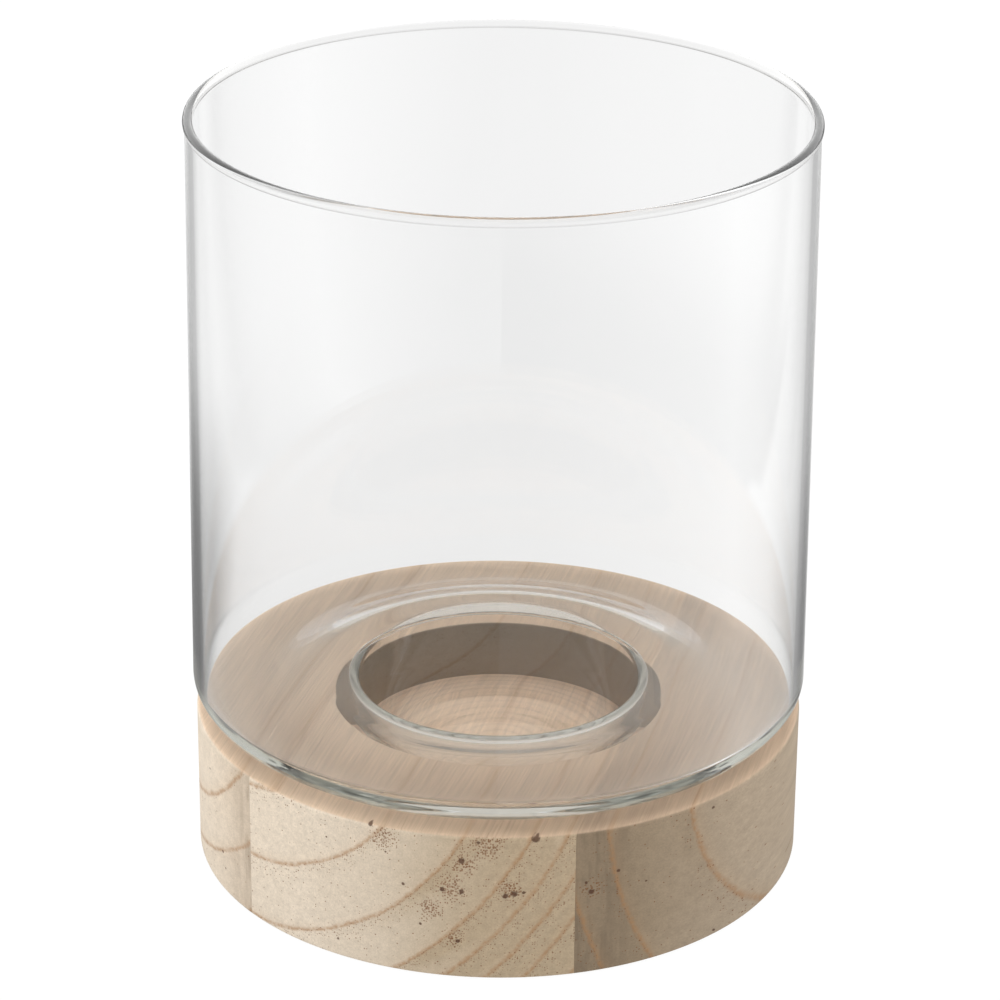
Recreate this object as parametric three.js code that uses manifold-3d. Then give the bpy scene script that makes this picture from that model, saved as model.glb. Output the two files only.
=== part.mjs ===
// A table hurricane candle holder: a clear glass cylinder with a closed floor and a round
// candle well moulded into it, standing on a round base glued up from three wooden staves.
// Millimetres, +Z up. The origin is the centre of the base's underside, and -Y is the front.

import * as THREE from 'three';
import { mergeVertices } from 'three/addons/utils/BufferGeometryUtils.js';
import Module from 'manifold-3d';

const wasm = await Module();
wasm.setup();

// ---- Driving dimensions ----

const TOTAL_HEIGHT = 200;
const SEGMENTS = 60; // facets round every turned shape

// Wooden base
const BASE_RADIUS = 79;
const BASE_HEIGHT = 40;
const BASE_EDGE = 1; // rounding of the two outer edges
const RECESS_RADIUS = 42.5; // blind pocket that the candle well drops into
const RECESS_DEPTH = 18;
const RECESS_EDGE = 0.6;
const GRAIN_ANGLE = -14; // degrees; how far the staves' length is turned from the Y axis
const LEFT_JOINT = -49; // places of the two glue joints, measured across the staves
const RIGHT_JOINT = 37.4;
const JOINT_GAP = 0.3;

// Glass vessel
const SEAT_GAP = 0.3; // between the glass and the wood that it stands on
const FOOT_RADIUS = 79.8; // outside of the wall just above the heel
const TOP_RADIUS = 78.5; // outside of the wall just below the rim
const WALL = 2;
const BEAD_RADIUS = 1.3; // fire-polished rim
const BEAD_PROUD = 0.5; // how far the rim stands out from the wall
const FLOOR_THICKNESS = 3.4;
const HEEL_WIDTH = 15; // outer corner between floor and wall, a quarter ellipse
const HEEL_HEIGHT = 9.5;
const INNER_HEEL_WIDTH = 13.5; // inner corner, also a quarter ellipse
const INNER_HEEL_HEIGHT = 6.8;
const CROWN_HEIGHT = 4.3; // rise of the floor from its foot ring to the candle well's lip
const CROWN_RADIUS = 46;

// Candle well in the glass floor
const WELL_FLAT_RADIUS = 24;
const WELL_MOUTH_RADIUS = 36.5;
const WELL_LIP = 3; // height of the lip's rounding
const WELL_UNDERSIDE = 24.5; // height of the well's underside above the table
const WELL_FLOOR_THICKNESS = 4.6;

// ---- Shapes ----

const toRadians = THREE.MathUtils.degToRad;
const toDegrees = THREE.MathUtils.radToDeg;

// Points on a part of an ellipse, from one angle to another in degrees.
function arc(x, y, radiusX, radiusY, from, to, steps) {
  const points = [];
  for (let i = 0; i <= steps; i += 1) {
    const angle = toRadians(from + ((to - from) * i) / steps);
    points.push(new THREE.Vector2(x + radiusX * Math.cos(angle), y + radiusY * Math.sin(angle)));
  }
  return points;
}

// Points on a cubic Bezier curve, from (x1, y1) to (x4, y4).
function bezier(x1, y1, x2, y2, x3, y3, x4, y4, steps) {
  const curve = new THREE.CubicBezierCurve(
    new THREE.Vector2(x1, y1),
    new THREE.Vector2(x2, y2),
    new THREE.Vector2(x3, y3),
    new THREE.Vector2(x4, y4),
  );
  return curve.getPoints(steps);
}

// A solid of revolution: a profile of radius and height, spun round the upright axis.
function turned(profile) {
  const geometry = new THREE.LatheGeometry(profile, SEGMENTS);
  geometry.rotateX(Math.PI / 2);
  return geometry;
}

function solidFrom(geometry) {
  const bare = geometry.clone();
  bare.deleteAttribute('normal');
  bare.deleteAttribute('uv');
  const merged = mergeVertices(bare, 1e-4);
  const mesh = new wasm.Mesh({
    numProp: 3,
    vertProperties: merged.attributes.position.array,
    triVerts: new Uint32Array(merged.index.array),
  });
  return new wasm.Manifold(mesh);
}

function geometryFrom(solid) {
  const mesh = solid.getMesh();
  const geometry = new THREE.BufferGeometry();
  geometry.setAttribute('position', new THREE.BufferAttribute(mesh.vertProperties, 3));
  geometry.setIndex(new THREE.BufferAttribute(mesh.triVerts, 1));
  return geometry.toNonIndexed();
}

// ---- Materials ----

function clearGlass() {
  return new THREE.MeshStandardMaterial({
    color: 0xe6efec,
    roughness: 0.03,
    metalness: 0,
    transparent: true,
    opacity: 0.3,
  });
}

function paleWood() {
  return new THREE.MeshStandardMaterial({ color: 0xcfbea2, roughness: 0.72, metalness: 0 });
}

function greyWood() {
  return new THREE.MeshStandardMaterial({ color: 0xa9967a, roughness: 0.74, metalness: 0 });
}

// ---- Wooden base ----

// The whole turned disc, with its blind pocket, before it is divided into staves.
function turnedDisc() {
  const top = BASE_HEIGHT;
  const edge = BASE_RADIUS - BASE_EDGE;
  const pocketFloor = BASE_HEIGHT - RECESS_DEPTH;
  return turned([
    new THREE.Vector2(0, 0),
    ...arc(edge, BASE_EDGE, BASE_EDGE, BASE_EDGE, -90, 0, 3),
    ...arc(edge, top - BASE_EDGE, BASE_EDGE, BASE_EDGE, 0, 90, 3),
    new THREE.Vector2(RECESS_RADIUS + RECESS_EDGE, top),
    new THREE.Vector2(RECESS_RADIUS, top - RECESS_EDGE),
    new THREE.Vector2(RECESS_RADIUS, pocketFloor),
    new THREE.Vector2(0, pocketFloor),
  ]);
}

// The part of the disc between two glue joints, given as distances across the staves.
function stave(disc, from, to) {
  const length = 3 * BASE_RADIUS;
  const slab = new THREE.BoxGeometry(to - from, length, length);
  slab.translate((from + to) / 2, 0, 0);
  slab.rotateZ(toRadians(GRAIN_ANGLE));
  return geometryFrom(disc.intersect(solidFrom(slab)));
}

function woodenBase() {
  const disc = solidFrom(turnedDisc());
  const outside = 2 * BASE_RADIUS;
  const halfGap = JOINT_GAP / 2;
  const staves = [
    ['base_stave_left', -outside, LEFT_JOINT - halfGap, paleWood()],
    ['base_stave_middle', LEFT_JOINT + halfGap, RIGHT_JOINT - halfGap, paleWood()],
    ['base_stave_right', RIGHT_JOINT + halfGap, outside, greyWood()],
  ];
  const base = new THREE.Group();
  for (const [name, from, to, material] of staves) {
    const mesh = new THREE.Mesh(stave(disc, from, to), material);
    mesh.name = name;
    base.add(mesh);
  }
  return base;
}

// ---- Glass vessel ----

const floorUnder = BASE_HEIGHT + SEAT_GAP;
const footTop = floorUnder + FLOOR_THICKNESS;
const wellFloor = WELL_UNDERSIDE + WELL_FLOOR_THICKNESS;

// Upper side of the glass floor, from the edge of the well's flat bottom, up the well's wall, over
// its lip and down the low crown round it to the foot ring.
function wellAndFloor() {
  const crown = footTop + CROWN_HEIGHT;
  const mouth = WELL_MOUTH_RADIUS;
  const lip = crown - WELL_LIP;
  const foot = FOOT_RADIUS - WALL - INNER_HEEL_WIDTH;
  const flat = WELL_FLAT_RADIUS;
  const edge = CROWN_RADIUS;
  const wall = bezier(flat, wellFloor, 30.5, wellFloor, 33.4, wellFloor + 5, mouth, lip, 9);
  const bend = bezier(mouth, lip, 36.9, crown - 0.9, 39.2, crown, edge, crown, 6);
  const slope = bezier(edge, crown, 52, crown, foot - 6, footTop, foot, footTop, 6);
  return [...wall, ...bend.slice(1), ...slope.slice(1)];
}

// The same line on the other side of the glass, a little thicker under the well.
function underside(points) {
  const under = [];
  for (let i = 1; i < points.length - 1; i += 1) {
    const along = points[i + 1].clone().sub(points[i - 1]).normalize();
    const share = THREE.MathUtils.clamp((points[i].x - WELL_FLAT_RADIUS) / 9, 0, 1);
    const thickness = THREE.MathUtils.lerp(WELL_FLOOR_THICKNESS, FLOOR_THICKNESS, share);
    const away = new THREE.Vector2(along.y, -along.x).multiplyScalar(thickness);
    under.push(points[i].clone().add(away));
  }
  return under;
}

// The rim's round bead, from where it meets the wall outside to where it meets it inside.
function rimBead() {
  const x = TOP_RADIUS + BEAD_PROUD - BEAD_RADIUS;
  const y = TOTAL_HEIGHT - BEAD_RADIUS;
  const outsideAngle = toDegrees(Math.acos((TOP_RADIUS - x) / BEAD_RADIUS));
  const insideAngle = toDegrees(Math.acos((x - TOP_RADIUS + WALL) / BEAD_RADIUS));
  return arc(x, y, BEAD_RADIUS, BEAD_RADIUS, -outsideAngle, 180 + insideAngle, 9);
}

function glassVessel() {
  const top = wellAndFloor();
  const heelX = FOOT_RADIUS - HEEL_WIDTH;
  const heelY = floorUnder + HEEL_HEIGHT;
  const innerX = FOOT_RADIUS - WALL - INNER_HEEL_WIDTH;
  const innerY = footTop + INNER_HEEL_HEIGHT;
  const profile = [
    new THREE.Vector2(0, WELL_UNDERSIDE),
    ...underside(top),
    ...arc(heelX, heelY, HEEL_WIDTH, HEEL_HEIGHT, -90, 0, 7),
    ...rimBead(),
    ...arc(innerX, innerY, INNER_HEEL_WIDTH, INNER_HEEL_HEIGHT, 0, -90, 7),
    ...top.reverse().slice(1),
    new THREE.Vector2(0, wellFloor),
  ];
  const mesh = new THREE.Mesh(turned(profile), clearGlass());
  mesh.name = 'glass_vessel';
  return mesh;
}

const holder = new THREE.Group();
holder.add(woodenBase(), glassVessel());

export default holder;
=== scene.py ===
"""Looks for the table hurricane candle holder: a clear glass cylinder with a candle well in its
floor, on a round base glued up from three wooden staves. Metres, +Z up, -Y is the front."""

import math

import bmesh
import bpy
from mathutils import Matrix, Vector


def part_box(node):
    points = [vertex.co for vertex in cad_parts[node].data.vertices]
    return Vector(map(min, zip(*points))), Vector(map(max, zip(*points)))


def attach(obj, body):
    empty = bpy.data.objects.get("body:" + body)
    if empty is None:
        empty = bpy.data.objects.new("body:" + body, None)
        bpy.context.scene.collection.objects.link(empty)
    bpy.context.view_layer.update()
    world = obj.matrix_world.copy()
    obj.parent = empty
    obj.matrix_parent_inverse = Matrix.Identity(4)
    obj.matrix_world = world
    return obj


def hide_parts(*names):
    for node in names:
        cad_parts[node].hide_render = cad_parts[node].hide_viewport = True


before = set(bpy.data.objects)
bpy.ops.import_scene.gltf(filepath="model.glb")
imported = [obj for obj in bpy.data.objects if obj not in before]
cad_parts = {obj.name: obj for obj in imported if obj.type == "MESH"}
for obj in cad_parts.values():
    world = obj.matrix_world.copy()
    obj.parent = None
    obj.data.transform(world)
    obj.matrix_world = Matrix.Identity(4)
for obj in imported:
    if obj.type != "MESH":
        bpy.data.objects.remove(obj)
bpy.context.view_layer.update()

MM = 0.001
scene = bpy.context.scene

# ---- Places that come from the frame ----

base_low, base_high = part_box("base_stave_middle")
vessel_low, vessel_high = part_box("glass_vessel")
BASE_TOP = base_high.z
BASE_RADIUS = (base_high.y - base_low.y) / 2
RIM_TOP = vessel_high.z
WELL_UNDER = vessel_low.z
FOOT_RADIUS = (vessel_high.x - vessel_low.x) / 2

# ---- Sizes of the wooden base ----

BASE_EDGE = 1 * MM
RECESS_RADIUS = 42.5 * MM  # blind pocket for the candle well
RECESS_DEPTH = 18 * MM
RECESS_FLOOR = BASE_TOP - RECESS_DEPTH
RECESS_EDGE = 0.6 * MM
GRAIN_ANGLE = math.radians(14)  # the staves' length, turned from +Y towards +X
LEFT_JOINT = -49 * MM  # glue joints, measured across the staves
RIGHT_JOINT = 37.4 * MM
GLUE_LINE = 0.04 * MM

# ---- Sizes of the glass ----

GAP = 0.3 * MM  # between the glass and the wood under it
FLOOR_UNDER = BASE_TOP + GAP
FLOOR_THICKNESS = 3.4 * MM
FOOT_TOP = FLOOR_UNDER + FLOOR_THICKNESS
WELL_FLOOR_THICKNESS = 4.6 * MM
WELL_FLOOR = WELL_UNDER + WELL_FLOOR_THICKNESS
WELL_FLAT = 24 * MM  # radius of the well's flat bottom
WELL_THINNING = 9 * MM  # how far outside the flat bottom the glass is down to the floor's thickness
WELL_MOUTH = 36.5 * MM
WELL_LIP = 3 * MM  # from the mouth of the well up to the top of the crown
CROWN_HEIGHT = 4.3 * MM  # the low swelling of the floor round the well
CROWN_RADIUS = 46 * MM
WALL = 2 * MM
WALL_LEAN = 1.3 * MM  # the wall is this much narrower at the rim than at the foot
TOP_RADIUS = FOOT_RADIUS - WALL_LEAN
HEEL_WIDTH = 15 * MM  # outer corner between floor and wall
HEEL_HEIGHT = 9.5 * MM
INNER_HEEL_WIDTH = 13.5 * MM
INNER_HEEL_HEIGHT = 6.8 * MM
FOOT_RING = FOOT_RADIUS - WALL - INNER_HEEL_WIDTH  # radius where the inner corner starts
BEAD = 1.3 * MM  # radius of the bead on the rim
BEAD_PROUD = 0.5 * MM  # how far the bead stands out from the wall

TURNS = 256  # facets round a turned piece


# ---- Mesh helpers ----


def arc(x, z, radius_x, radius_z, start, end, steps):
    """Points of a profile along part of an ellipse, between two angles in degrees."""
    points = []
    for i in range(steps + 1):
        angle = math.radians(start + (end - start) * i / steps)
        points.append((x + radius_x * math.cos(angle), z + radius_z * math.sin(angle)))
    return points


def bezier(p0, p1, p2, p3, steps):
    """Points of a profile along a cubic Bezier curve."""
    points = []
    for i in range(steps + 1):
        t = i / steps
        u = 1 - t
        weights = (u ** 3, 3 * u * u * t, 3 * u * t * t, t ** 3)
        corners = (p0, p1, p2, p3)
        points.append(tuple(sum(w * p[k] for w, p in zip(weights, corners)) for k in (0, 1)))
    return points


def turned(profile):
    """A bmesh of the profile (radius, height), from axis to axis, spun round +Z."""
    bm = bmesh.new()
    loops = []
    for radius, z in profile:
        loop = []
        for i in range(TURNS if radius else 1):
            angle = 2 * math.pi * i / TURNS
            loop.append(bm.verts.new((radius * math.cos(angle), radius * math.sin(angle), z)))
        loops.append(loop)
    for lower, upper in zip(loops, loops[1:]):
        for i in range(TURNS):
            j = (i + 1) % TURNS
            corners = [lower[i % len(lower)], lower[j % len(lower)]]
            corners += [upper[j % len(upper)], upper[i % len(upper)]]
            bm.faces.new(list(dict.fromkeys(corners)))
    bmesh.ops.recalc_face_normals(bm, faces=bm.faces)
    return bm


def as_object(bm, name, material, crease=None):
    """The bmesh as a smooth-shaded object; edges sharper than crease degrees stay sharp."""
    mesh = bpy.data.meshes.new(name)
    bm.to_mesh(mesh)
    bm.free()
    mesh.shade_smooth()
    if crease:
        mesh.set_sharp_from_angle(angle=math.radians(crease))
    mesh.materials.append(material)
    piece = bpy.data.objects.new(name, mesh)
    scene.collection.objects.link(piece)
    return piece


# ---- Node helpers ----


class Tree:
    """A short way to write a node tree. node() adds a node and returns it; the other calls return
    the output that is wanted."""

    def __init__(self, owner):
        owner.use_nodes = True
        self.nodes = owner.node_tree.nodes
        self.links = owner.node_tree.links
        self.nodes.clear()

    def plug(self, socket, value):
        """Links an output to the socket, or sets the socket to a plain value."""
        if isinstance(value, bpy.types.NodeSocket):
            self.links.new(value, socket)
        elif value is not None:
            socket.default_value = value

    def node(self, kind, inputs=None, **settings):
        n = self.nodes.new("ShaderNode" + kind)
        for key, value in settings.items():
            setattr(n, key, value)
        for key, value in (inputs or {}).items():
            self.plug(n.inputs[key], value)
        return n

    def math(self, operation, a, b=None, c=None, clamp=False):
        n = self.node("Math", operation=operation, use_clamp=clamp)
        for socket, value in zip(n.inputs, (a, b, c)):
            self.plug(socket, value)
        return n.outputs[0]

    def vector(self, operation, a, b=None):
        n = self.node("VectorMath", operation=operation)
        for socket, value in zip(n.inputs, (a, b)):
            self.plug(socket, value)
        return n.outputs["Value" if operation in ("LENGTH", "DOT_PRODUCT") else "Vector"]

    def ramp(self, factor, stops):
        """A grey that runs straight from stop to stop; a stop is (place, brightness)."""
        n = self.node("ValToRGB", {"Fac": factor})
        elements = n.color_ramp.elements
        while len(elements) < len(stops):
            elements.new(0.5)
        for element, (position, value) in zip(elements, stops):
            element.position = position
            element.color = (value, value, value, 1)
        return n.outputs["Color"]

    def mix(self, factor, a, b, blend="MIX"):
        n = self.node("Mix", data_type="RGBA", blend_type=blend)
        for socket, value in zip((n.inputs[0], n.inputs[6], n.inputs[7]), (factor, a, b)):
            if isinstance(value, tuple) and len(value) == 3:
                value = (*value, 1)
            self.plug(socket, value)
        return n.outputs[2]

    def noise(self, where, scale, detail=2, roughness=0.5):
        """Noise from 0 to 1; scale is a number per axis, in waves per unit of where."""
        stretched = self.vector("MULTIPLY", where, scale)
        inputs = {"Vector": stretched, "Scale": 1, "Detail": detail, "Roughness": roughness}
        return self.node("TexNoise", inputs).outputs["Fac"]

    def between(self, value, low, high, out_low=0.0, out_high=1.0, smooth=True):
        """Goes from out_low to out_high as the value goes from low to high, and stays there."""
        kind = "SMOOTHSTEP" if smooth else "LINEAR"
        n = self.node("MapRange", interpolation_type=kind)
        for socket, v in zip(n.inputs, (value, low, high, out_low, out_high)):
            self.plug(socket, v)
        return n.outputs[0]


def grey(tree, value):
    return tree.node("CombineColor", {0: value, 1: value, 2: value}).outputs[0]


def tint(tree, colour, value):
    """The colour times a brightness."""
    return tree.mix(1.0, colour, grey(tree, value), "MULTIPLY")


# ---- Wood ----

CREAM = (0.69, 0.59, 0.47)
WARM_CREAM = (0.63, 0.52, 0.40)
TAN = (0.44, 0.34, 0.225)
GREY_TAN = (0.42, 0.33, 0.235)
GREY_BROWN = (0.30, 0.225, 0.145)
PLANED_WOOD = (0.53, 0.42, 0.33)  # the flat top, which shows the wood along its fibres
PLANED_LIGHT = (1.1, 1.02, 0.93)
STAIN = (0.16, 0.115, 0.075)
RING_LINE = (0.33, 0.17, 0.07)
LATE_WOOD = (0.45, 0.27, 0.13)
PORE = (0.19, 0.08, 0.03)
SPECK = (0.085, 0.035, 0.018)
# painted shade for the pocket's wall
POCKET_WALL_SHADE = (0.27, 0.19, 0.115)
TOOL_MARK = (0.3, 0.2, 0.12)

FAR_OFF = 200  # mm, farther than any point of a stave is from any of its rings
UNDER_GLASS = (77, 68)  # mm from the axis, from open wood to wood under the glass, where the top faces get painted light


def beside_rings(tree, radius, ring_radii):
    """How far a point lies outside the nearest ring within it and inside the nearest ring beyond
    it, in mm."""
    outside = FAR_OFF
    inside = FAR_OFF
    for ring in ring_radii:
        past = tree.math("SUBTRACT", radius, ring)
        outside = tree.math("MINIMUM", outside, tree.math("WRAP", past, FAR_OFF, 0))
        ahead = tree.math("SUBTRACT", ring, radius)
        inside = tree.math("MINIMUM", inside, tree.math("WRAP", ahead, FAR_OFF, 0))
    return outside, inside


def nearest(tree, board, spots):
    """Distance to the nearest of a few spots, as a share of each one's reach. A spot is
    (across, along, height, reach) in mm, and is drawn out along the stave."""
    share = 9  # the most it can be, which is far from every spot
    for across, along, height, reach in spots:
        offset = tree.vector("SUBTRACT", board, (across, along, height))
        distance = tree.vector("LENGTH", tree.vector("MULTIPLY", offset, (1, 0.3, 1)))
        share = tree.math("MINIMUM", share, tree.math("DIVIDE", distance, reach))
    return share


def growth_rings(tree, board, pith, ring_radii):
    """The dark line on each ring, the late wood just inside it and the early wood outside it."""
    from_pith = tree.vector("SUBTRACT", board, (pith[0], 0, pith[1]))
    radius = tree.vector("LENGTH", tree.vector("MULTIPLY", from_pith, (1, 0, 1)))
    wander = tree.noise(board, (0.018, 0.006, 0.018))
    jitter = tree.noise(board, (0.45, 0.05, 0.45), detail=3)
    radius = tree.math("MULTIPLY_ADD", tree.math("SUBTRACT", wander, 0.5), 5, radius)
    radius = tree.math("MULTIPLY_ADD", tree.math("SUBTRACT", jitter, 0.5), 1.0, radius)
    outside, inside = beside_rings(tree, radius, ring_radii)
    line = tree.math(
        "MAXIMUM", tree.between(outside, 0, 0.8, 1, 0), tree.between(inside, 0, 1.1, 1, 0))
    broken = tree.between(tree.noise(board, (1.1, 0.05, 1.1)), 0.35, 0.6, 0.45, 1)
    line = tree.math("MULTIPLY", line, broken)
    late = tree.between(inside, 0, 3.5, 1, 0)
    early = tree.between(outside, 0, 6, 1, 0)
    return line, late, early


def open_pores(tree, board, early, amount, clusters):
    """Dark dots on the end grain, drawn out along the stave. There are more of them in the early
    wood and in the clusters, and there they are bigger."""
    parts = tree.node("SeparateXYZ", {"Vector": board}).outputs
    section = tree.node("CombineXYZ", {"X": parts["X"], "Y": parts["Z"]}).outputs[0]
    drift = tree.noise(board, (0.05, 0.02, 0.05), detail=1)
    drift = tree.node("CombineXYZ", {"X": drift, "Y": drift}).outputs[0]
    section = tree.vector("ADD", section, drift)
    cells = tree.node("TexVoronoi", {"Vector": section, "Scale": 1.7}, voronoi_dimensions="2D")
    chance = tree.node("SeparateColor", {"Color": cells.outputs["Color"]}).outputs
    cluster = tree.between(nearest(tree, board, clusters), 0.1, 1.0, 0.8, 0)
    likely = tree.math("MULTIPLY", early, amount)
    likely = tree.math("MULTIPLY_ADD", likely, 0.55, amount * 0.06)
    likely = tree.math("ADD", likely, cluster)
    hole = tree.math("LESS_THAN", chance[0], likely)
    size = tree.math("MULTIPLY_ADD", chance[1], 0.25, 0.12)
    size = tree.math("MULTIPLY_ADD", cluster, 0.3, size)
    dot = tree.between(tree.math("DIVIDE", cells.outputs["Distance"], size), 0.6, 1.1, 1, 0)
    depth = tree.math("MULTIPLY_ADD", chance[2], 0.5, 0.5)
    return tree.math("MULTIPLY", tree.math("MULTIPLY", hole, dot), depth)


def wood(name, pith, ring_radii, pale, deep, tone_range, pore_amount, specks, clusters, stain):
    """Bare wood whose growth rings are cylinders round the pith, which runs along the stave.
    pith is (across, height) in mm; tone_range holds the places across the stave that go from
    pale to deep, and stain those that go from a clean board to a stained one."""
    material = bpy.data.materials.new(name)
    tree = Tree(material)
    coordinates = tree.node("TexCoord").outputs
    place = coordinates["Object"]
    mapping = tree.node("Mapping", {"Vector": place})
    mapping.inputs["Rotation"].default_value = (0, 0, GRAIN_ANGLE)
    mapping.inputs["Scale"].default_value = (1 / MM, 1 / MM, 1 / MM)
    board = mapping.outputs[0]  # millimetres: across the stave, along it, up
    parts = tree.node("SeparateXYZ", {"Vector": board}).outputs
    across = parts["X"]
    height = parts["Z"]
    around = tree.vector("LENGTH", tree.vector("MULTIPLY", place, (1 / MM, 1 / MM, 0)))
    up = tree.node("SeparateXYZ", {"Vector": coordinates["Normal"]}).outputs["Z"]
    planed = tree.between(tree.math("ABSOLUTE", up), 0.5, 0.9)
    end_grain = tree.math("SUBTRACT", 1.0, planed)

    line, late, early = growth_rings(tree, board, pith, ring_radii)
    pores = open_pores(tree, board, early, pore_amount, clusters)
    fibre = tree.noise(board, (2.2, 0.05, 2.2), detail=4, roughness=0.65)
    coarse = tree.noise(board, (0.5, 0.012, 0.5), detail=3, roughness=0.6)
    cloud = tree.noise(board, (0.03, 0.012, 0.03), detail=3)

    # the board's own colour
    tone = tree.between(across, tone_range[0], tone_range[1])
    tone = tree.math("MULTIPLY_ADD", tree.math("SUBTRACT", cloud, 0.5), 0.5, tone)
    tone = tree.math("MULTIPLY_ADD", early, tree.math("MULTIPLY", tone, 0.55), tone)
    tone = tree.math("MULTIPLY_ADD", late, -0.12, tone, clamp=True)
    colour = tree.mix(tone, pale, deep)
    face = tree.mix(0.7, colour, PLANED_WOOD)
    colour = tree.mix(planed, colour, tree.mix(1.0, face, PLANED_LIGHT, "MULTIPLY"))
    colour = tint(tree, colour, tree.between(coarse, 0.3, 0.7, 0.92, 1.06, smooth=False))
    colour = tint(tree, colour, tree.between(fibre, 0.3, 0.7, 0.86, 1.09, smooth=False))

    # stain, rings, pores and specks on it
    mark = tree.between(across, stain[0], stain[1])
    blotch = tree.noise(board, (0.32, 0.05, 0.045), detail=3, roughness=0.6)
    mark = tree.math("MULTIPLY", mark, tree.between(blotch, 0.38, 0.62, 0.35, 1))
    mark = tree.math("MULTIPLY", mark, tree.math("MULTIPLY_ADD", end_grain, 0.75, 0.25))
    colour = tree.mix(tree.math("MULTIPLY", mark, 0.85), colour, STAIN)
    ring_depth = tree.math("MULTIPLY_ADD", planed, -0.35, 0.65)
    colour = tree.mix(tree.math("MULTIPLY", line, ring_depth), colour, RING_LINE)
    colour = tree.mix(tree.math("MULTIPLY", late, 0.12), colour, LATE_WOOD)
    pore_depth = tree.math("MULTIPLY", pores, tree.math("MULTIPLY_ADD", end_grain, 0.75, 0.2))
    colour = tree.mix(pore_depth, colour, PORE)
    ragged = tree.math("MULTIPLY_ADD", tree.noise(board, (1.6, 0.3, 1.6)), 0.9, -0.45)
    speck = tree.math("ADD", nearest(tree, board, specks), ragged)
    speck = tree.between(speck, 0.4, 0.75, 0.85, 0)
    colour = tree.mix(speck, colour, SPECK)

    # painted light: the wood under the glass and on the pocket's floor is made paler; painted shade:
    # the pocket's wall is made darker
    # painted light: the top faces under the glass are made paler
    painted_light_under_glass = tree.math("MULTIPLY", tree.between(around, *UNDER_GLASS), planed)
    colour = tint(tree, colour, tree.math("MULTIPLY_ADD", painted_light_under_glass, 0.16, 1.0))
    # painted light: the pocket's floor is made paler; the same mask also places the tool rings below
    level = RECESS_FLOOR / MM
    below = tree.between(height, level + 2, level + 1)
    in_pocket = tree.math("MULTIPLY", below, tree.between(height, level - 1, level - 0.5))
    in_pocket = tree.math("MULTIPLY", in_pocket, planed)
    colour = tint(tree, colour, tree.math("MULTIPLY_ADD", in_pocket, 0.3, 1.0))
    # painted shade: the pocket's wall is made darker
    bore = RECESS_RADIUS / MM
    bore = tree.math("MULTIPLY", tree.between(around, bore + 0.5, bore + 0.3), end_grain)
    colour = tree.mix(tree.math("MULTIPLY", bore, 0.7), colour, POCKET_WALL_SHADE)

    # faint tool rings on the pocket's floor
    tooling = tree.math("SINE", tree.math("MULTIPLY", around, 1.9))
    tooling = tree.math("MULTIPLY", tooling, in_pocket)
    groove = tree.math("MULTIPLY", tree.between(tooling, 0.2, 1), 0.12)
    colour = tree.mix(groove, colour, TOOL_MARK)

    # surface
    rough = tree.between(fibre, 0.2, 0.8, 0.56, 0.78, smooth=False)
    relief = tree.math("MULTIPLY_ADD", fibre, 0.5, tree.math("MULTIPLY", coarse, 0.35))
    relief = tree.math("MULTIPLY_ADD", pores, -0.8, relief)
    relief = tree.math("MULTIPLY_ADD", speck, -0.8, relief)
    relief = tree.math("MULTIPLY_ADD", line, -0.25, relief)
    relief = tree.math("MULTIPLY_ADD", tooling, 0.2, relief)
    bump = tree.node("Bump", {"Strength": 0.35, "Distance": 0.25 * MM, "Height": relief})
    shader = tree.node("BsdfPrincipled", {"Base Color": colour, "Roughness": rough})
    shader.inputs["IOR"].default_value = 1.45
    shader.inputs["Specular IOR Level"].default_value = 0.35
    tree.links.new(bump.outputs[0], shader.inputs["Normal"])
    out = tree.node("OutputMaterial")
    tree.links.new(shader.outputs[0], out.inputs["Surface"])
    return material


def wood_materials():
    left = wood(
        "wood_left", pith=(-103, 71), ring_radii=(60, 73, 88, 100),
        pale=CREAM, deep=WARM_CREAM, tone_range=(-70, -48), pore_amount=0.1,
        specks=((-65.2, -44.7, 31.1, 0.5), (-59.9, -51.5, 11.2, 0.6), (-58.8, -52.8, 7.1, 0.4)),
        clusters=((-66, 40, 20, 4),), stain=(-60, -40))
    middle = wood(
        "wood_middle", pith=(-53.7, 74), ring_radii=(36, 55.3, 73.1, 87.7, 95.8, 102.2, 108.5, 117),
        pale=CREAM, deep=TAN, tone_range=(-34, 26), pore_amount=0.75,
        specks=(
            (28.2, -73.8, 39.4, 1.5), (23.3, -75.5, 24.2, 1.3), (21.2, -76.1, 23.6, 1.1),
            (25.6, -74.7, 24.5, 0.7), (-12.7, -78, 39.8, 1.0), (10.6, -78.3, 24.5, 1.1),
            (5.9, -78.8, 24.8, 1.0), (10.7, -78.3, 33.1, 1.2), (9.8, -78.4, 10.5, 0.9),
            (-4.1, -78.9, 24.9, 0.8), (14.7, -77.6, 38.5, 0.7), (-24.9, -75, 33.1, 0.45),
            (-8.7, -78.5, 33.1, 0.45), (0.3, -79, 14.4, 0.6), (-21.9, -75.9, 5, 0.6)),
        clusters=(
            (11.5, -78, 32, 5), (8, -78.6, 25, 6.5), (22.5, -76, 25, 5), (17, -77, 38, 7),
            (-9, -78.5, 37, 5), (3, -79, 19, 5), (9, -78, 11, 4)),
        stain=(39, 60))
    right = wood(
        "wood_right", pith=(138, 43.5), ring_radii=(76, 94, 103.7, 125),
        pale=GREY_TAN, deep=GREY_BROWN, tone_range=(78, 44), pore_amount=0.4,
        specks=(
            (40.9, -67.6, 23.1, 1.2), (39.8, -68.2, 25.8, 0.6), (46.8, -63.6, 27.8, 0.7),
            (52.9, -58.7, 23.1, 0.4), (66.3, -42.9, 37.4, 0.6), (67.2, -41.6, 1.6, 0.6)),
        clusters=((41, -68, 24, 4),), stain=(56, 38))
    return left, middle, right


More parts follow.
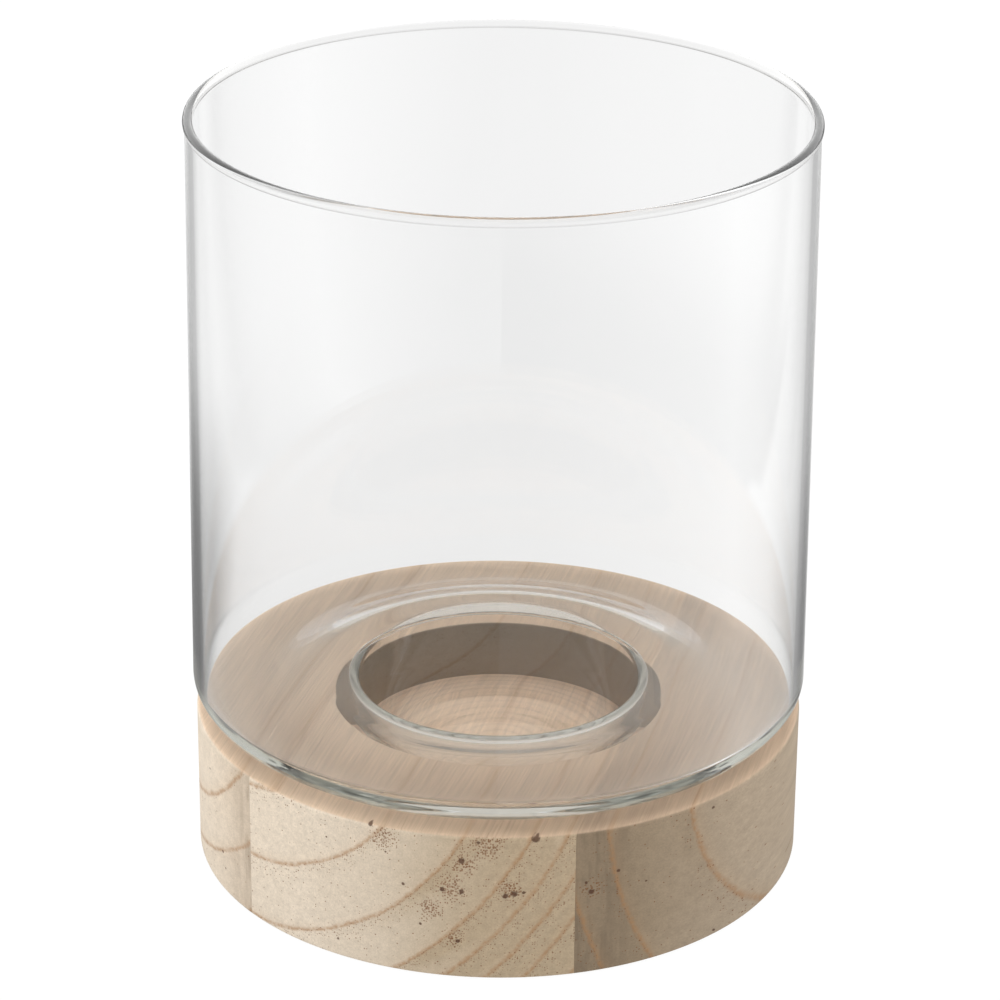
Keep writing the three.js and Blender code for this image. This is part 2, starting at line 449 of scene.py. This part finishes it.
def turned_disc():
    edge = BASE_RADIUS - BASE_EDGE
    mouth = RECESS_RADIUS + RECESS_EDGE
    return turned([
        (0, 0),
        *arc(edge, BASE_EDGE, BASE_EDGE, BASE_EDGE, -90, 0, 6),
        *arc(edge, BASE_TOP - BASE_EDGE, BASE_EDGE, BASE_EDGE, 0, 90, 6),
        *arc(mouth, BASE_TOP - RECESS_EDGE, RECESS_EDGE, RECESS_EDGE, 90, 180, 4),
        (RECESS_RADIUS, RECESS_FLOOR),
        (0, RECESS_FLOOR),
    ])


def cut(bm, across, keep_above):
    """Cuts the disc along a glue joint, keeps one side of it and closes the cut."""
    normal = Vector((math.cos(GRAIN_ANGLE), -math.sin(GRAIN_ANGLE), 0))
    geometry = bm.verts[:] + bm.edges[:] + bm.faces[:]
    bmesh.ops.bisect_plane(
        bm, geom=geometry, dist=1e-7, plane_co=normal * across, plane_no=normal,
        clear_inner=keep_above, clear_outer=not keep_above)
    open_edges = [e for e in bm.edges if e.is_boundary]
    bmesh.ops.edgeloop_fill(bm, edges=open_edges)


def stave(name, node, material, low, high):
    """The part of the disc between two glue joints, or as far as its edge where a joint is None."""
    bm = turned_disc()
    if low is not None:
        cut(bm, low + GLUE_LINE / 2, True)
    if high is not None:
        cut(bm, high - GLUE_LINE / 2, False)
    bmesh.ops.recalc_face_normals(bm, faces=bm.faces)
    piece = as_object(bm, name, material, crease=35)
    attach(piece, "base")
    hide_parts(node)
    return piece


def wooden_base():
    left, middle, right = wood_materials()
    pieces = (
        stave("left_stave_wood", "base_stave_left", left, None, LEFT_JOINT),
        stave("middle_stave_wood", "base_stave_middle", middle, LEFT_JOINT, RIGHT_JOINT),
        stave("right_stave_wood", "base_stave_right", right, RIGHT_JOINT, None),
    )


# ---- Glass ----

ABSORPTION = (0.6, 0.69, 0.65, 1)  # a faint green that deepens with the length of a ray's way
ABSORPTION_DENSITY = 5  # per metre


def glass():
    material = bpy.data.materials.new("clear_glass")
    tree = Tree(material)
    place = tree.node("TexCoord").outputs["Object"]
    waviness = tree.noise(place, (9, 9, 3), detail=1)
    bump = tree.node("Bump", {"Strength": 0.12, "Distance": 1 * MM, "Height": waviness})
    shader = tree.node("BsdfPrincipled")
    shader.inputs["Base Color"].default_value = (1, 1, 1, 1)
    shader.inputs["Roughness"].default_value = 0.0
    shader.inputs["IOR"].default_value = 1.5
    shader.inputs["Transmission Weight"].default_value = 1.0
    tree.links.new(bump.outputs[0], shader.inputs["Normal"])
    body = tree.node("VolumeAbsorption")
    body.inputs["Color"].default_value = ABSORPTION
    body.inputs["Density"].default_value = ABSORPTION_DENSITY
    out = tree.node("OutputMaterial")
    tree.links.new(shader.outputs[0], out.inputs["Surface"])
    tree.links.new(body.outputs[0], out.inputs["Volume"])
    return material


def rim():
    """The fire-polished rim: a round bead that stands out from the wall. The points under it keep
    the bead's smooth shading off the wall."""
    outside = TOP_RADIUS
    inside = TOP_RADIUS - WALL
    centre = TOP_RADIUS + BEAD_PROUD - BEAD
    middle = RIM_TOP - BEAD
    out_angle = math.degrees(math.acos((outside - centre) / BEAD))
    in_angle = math.degrees(math.acos((centre - inside) / BEAD))
    foot = middle - BEAD * math.sin(math.radians(out_angle))
    points = [(outside, foot - 0.5 * MM), (outside, foot - 0.2 * MM)]
    points += arc(centre, middle, BEAD, BEAD, -out_angle, 180 + in_angle, 28)
    points += [(inside, foot - 0.6 * MM)]
    return points


def well_and_floor():
    """Upper side of the glass floor, from the edge of the well's flat bottom, up the well's wall,
    over its mouth and down the low crown round it to the foot ring."""
    crown = FOOT_TOP + CROWN_HEIGHT
    bottom = (WELL_FLAT, WELL_FLOOR)
    mouth = (WELL_MOUTH, crown - WELL_LIP)
    top = (CROWN_RADIUS, crown)
    foot = (FOOT_RING, FOOT_TOP)
    # the handles of the three curves
    off_bottom = (30.5 * MM, WELL_FLOOR)
    up_wall = (33.4 * MM, WELL_FLOOR + 5 * MM)
    over_mouth = (36.9 * MM, crown - 0.9 * MM)
    onto_top = (39.2 * MM, crown)
    off_top = (52 * MM, crown)
    onto_foot = (FOOT_RING - 6 * MM, FOOT_TOP)
    points = bezier(bottom, off_bottom, up_wall, mouth, 30)
    points += bezier(mouth, over_mouth, onto_top, top, 20)[1:]
    points += bezier(top, off_top, onto_foot, foot, 20)[1:]
    return points


def underside(points):
    """The same line on the other side of the glass, which is a little thicker under the well."""
    under = []
    for before, here, after in zip(points, points[1:], points[2:]):
        along = Vector(after) - Vector(before)
        out = Vector((along.y, -along.x)).normalized()
        share = min(1, max(0, (here[0] - WELL_FLAT) / WELL_THINNING))
        thickness = WELL_FLOOR_THICKNESS * (1 - share) + FLOOR_THICKNESS * share
        under.append(tuple(Vector(here) + out * thickness))
    return under


def vessel():
    """The glass, from a profile that runs from the axis under the well, up the outside, over the
    rim and down the inside to the axis above the well's floor."""
    heel = FOOT_RADIUS - HEEL_WIDTH
    floor_top = well_and_floor()
    profile = [
        (0, WELL_UNDER),
        *underside(floor_top),
        *arc(heel, FLOOR_UNDER + HEEL_HEIGHT, HEEL_WIDTH, HEEL_HEIGHT, -90, 0, 24),
        *rim(),
        *arc(FOOT_RING, FOOT_TOP + INNER_HEEL_HEIGHT, INNER_HEEL_WIDTH, INNER_HEEL_HEIGHT, 0, -90, 24),
        *floor_top[-2::-1],
        (0, WELL_FLOOR),
    ]
    piece = as_object(turned(profile), "vessel_glass", glass())
    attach(piece, "vessel")
    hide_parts("glass_vessel")


# ---- Studio ----

SEEN = 1.0  # the white that the camera sees
SHOWN = 0.83  # the white that glass shows low down at the back
EDGE_FRONT = (0.42, 0.38, 0.33)  # the room in reflections inside the glass, from front to back
EDGE_BACK = (0.68, 0.64, 0.58)

# light from round the room: (towards, sharpness, strength), and the rest from everywhere
LOBES = (
    ((-0.85, -0.3, 0.4), 2.0, 1.2),
    ((0.95, 0.05, 0.35), 2.0, 0.6),
    ((0, 0.9, 0.5), 2.0, 0.9),
    ((0, 0, 1), 7.0, 4.6),
)
REST_OF_ROOM = 0.2

# what glass shows of the table: stops of (share of the half turn away from the back, brightness)
LEFT_NEAR = ((0, SHOWN), (0.025, 0.82), (0.05, 0.26), (0.15, 0.26), (0.21, 0.6), (0.5, 0.7), (1, 0.3))
LEFT_FAR = ((0, SHOWN), (0.08, 0.84), (0.1, 0.5), (0.13, 0.38), (0.2, 0.72), (0.5, 0.9), (1, 0.45))
RIGHT_NEAR = ((0, SHOWN), (0.03, 0.84), (0.07, 0.45), (0.12, 0.25), (0.3, 0.6), (0.5, 1.2), (1, 0.42))
RIGHT_FAR = ((0, SHOWN), (0.05, 0.88), (0.09, 0.62), (0.13, 0.36), (0.22, 0.72), (0.5, 1.4), (1, 0.42))
NEAR = 0.16
FAR = 0.34
BACK_WIDTH = 0.075  # half the width of the even strip behind the object
TURN_CENTRE = -0.03  # where along y the half turn has its centre

FLOOR_PAINT = 0.05  # share of the light that the floor reflects; the rest of its white glows
FLOOR_LIGHT = 0.95  # light that falls on the open floor
FLOOR_RADIUS = 6
FLOOR_DROP = 0.1 * MM  # the floor lies this far under the base

CAMERA_PLACE = (0, -0.9046, 0.4960)
CAMERA_DOWN = math.radians(23.895)
CAMERA_ROLL = math.radians(0.51)
LENS = 138.46  # mm, on a sensor 36 mm wide
SENSOR = 36


def lobe(tree, direction, towards, sharpness, strength):
    """Brightness in a direction of a soft light that is strongest towards one side."""
    aim = Vector(towards).normalized()
    facing = tree.math("MAXIMUM", tree.vector("DOT_PRODUCT", direction, tuple(aim)), 0)
    return tree.math("MULTIPLY", tree.math("POWER", facing, sharpness), strength)


def pick(tree, for_camera, for_glass, for_mirrors, for_edges, for_lighting):
    """Five values in one: for rays straight from the camera, for rays that went through glass, for
    reflections off it, for reflections inside it, and for rays that light a matt surface."""
    path = tree.node("LightPath").outputs
    mirrored = tree.math("GREATER_THAN", path["Glossy Depth"], 0.5)
    lit = tree.math("GREATER_THAN", path["Diffuse Depth"], 0.5)
    passed = tree.math("GREATER_THAN", path["Transmission Depth"], 0.5)
    value = tree.mix(passed, for_camera, for_glass)
    value = tree.mix(mirrored, value, tree.mix(passed, for_mirrors, for_edges))
    return tree.mix(lit, value, for_lighting)


def room():
    world = bpy.data.worlds.new("studio")
    scene.world = world
    world.cycles.sampling_method = "NONE"
    tree = Tree(world)
    direction = tree.node("TexCoord").outputs["Generated"]
    lighting = REST_OF_ROOM
    for towards, sharpness, strength in LOBES:
        lighting = tree.math("ADD", lobe(tree, direction, towards, sharpness, strength), lighting)
    parts = tree.node("SeparateXYZ", {"Vector": direction}).outputs
    behind = parts["Y"]
    up = parts["Z"]
    mirrors = tree.between(behind, -0.4, 0.75, 0.6, 2.0)
    overhead = tree.between(behind, 0.2, 0.95, 0.1, 0.35)
    glass = tree.mix(tree.between(up, 0.12, 0.4), grey(tree, SHOWN), grey(tree, overhead))
    edges = tree.mix(tree.between(behind, -0.1, 0.6), EDGE_FRONT, EDGE_BACK)
    colour = pick(tree, (SEEN,) * 3, glass, grey(tree, mirrors), edges, grey(tree, lighting))
    background = tree.node("Background", {"Color": colour, "Strength": 1.0})
    out = tree.node("OutputWorld")
    tree.links.new(background.outputs[0], out.inputs["Surface"])


def around_object(tree, stops_near, stops_far, angle, distance):
    """Brightness that the table has for glass: one ramp over the angle close by, one farther off."""
    near = tree.ramp(angle, stops_near)
    far = tree.ramp(angle, stops_far)
    return tree.mix(tree.between(distance, NEAR, FAR), near, far)


def floor_material():
    """A matt white that mostly glows, so that it stays even, and that has its own values for
    glass: the shades of a studio round the object."""
    material = bpy.data.materials.new("pale_floor")
    material.cycles.emission_sampling = "NONE"
    tree = Tree(material)
    place = tree.node("TexCoord").outputs["Object"]
    parts = tree.node("SeparateXYZ", {"Vector": place}).outputs
    aside = tree.math("SUBTRACT", tree.math("ABSOLUTE", parts["X"]), BACK_WIDTH)
    aside = tree.math("MAXIMUM", aside, 0)
    angle = tree.math("ARCTAN2", aside, tree.math("SUBTRACT", parts["Y"], TURN_CENTRE))
    angle = tree.math("DIVIDE", angle, math.pi)
    distance = tree.vector("LENGTH", place)
    on_left = tree.math("LESS_THAN", parts["X"], 0)
    left = around_object(tree, LEFT_NEAR, LEFT_FAR, angle, distance)
    right = around_object(tree, RIGHT_NEAR, RIGHT_FAR, angle, distance)
    shades = tree.mix(on_left, right, left)

    # reflections inside the glass are darker beside the object on the left
    side = tree.between(angle, 0.03, 0.06, 1, 0.04)
    side = tree.math("MAXIMUM", side, tree.between(distance, 0.2, 0.4))
    side = tree.mix(on_left, (1, 1, 1), grey(tree, side))
    edges = tree.mix(1.0, shades, side, "MULTIPLY")

    seen = (SEEN - FLOOR_PAINT * FLOOR_LIGHT,) * 3
    colour = pick(tree, seen, shades, shades, edges, (1, 1, 1))
    glow = tree.node("Emission", {"Color": colour, "Strength": 1.0})
    paint = tree.node("BsdfDiffuse", {"Color": (FLOOR_PAINT, FLOOR_PAINT, FLOOR_PAINT, 1)})
    both = tree.node("AddShader")
    tree.links.new(glow.outputs[0], both.inputs[0])
    tree.links.new(paint.outputs[0], both.inputs[1])
    out = tree.node("OutputMaterial")
    tree.links.new(both.outputs[0], out.inputs["Surface"])
    return material


def floor():
    material = floor_material()
    bm = bmesh.new()
    bmesh.ops.create_circle(bm, cap_ends=True, segments=96, radius=FLOOR_RADIUS)
    bmesh.ops.translate(bm, verts=bm.verts, vec=(0, 0, -FLOOR_DROP))
    as_object(bm, "floor", material)


def camera():
    data = bpy.data.cameras.new("camera")
    data.sensor_width = SENSOR
    data.lens = LENS
    data.clip_start = 0.01
    item = bpy.data.objects.new("camera", data)
    scene.collection.objects.link(item)
    tilt = Matrix.Rotation(math.pi / 2 - CAMERA_DOWN, 4, "X")
    roll = Matrix.Rotation(CAMERA_ROLL, 4, "Z")
    item.matrix_world = Matrix.Translation(CAMERA_PLACE) @ tilt @ roll
    scene.camera = item


# ---- Scene ----

scene.view_settings.view_transform = "Standard"
scene.cycles.max_bounces = 40
scene.cycles.transmission_bounces = 32
scene.cycles.glossy_bounces = 32
scene.cycles.diffuse_bounces = 4

wooden_base()
vessel()
room()
floor()
camera()
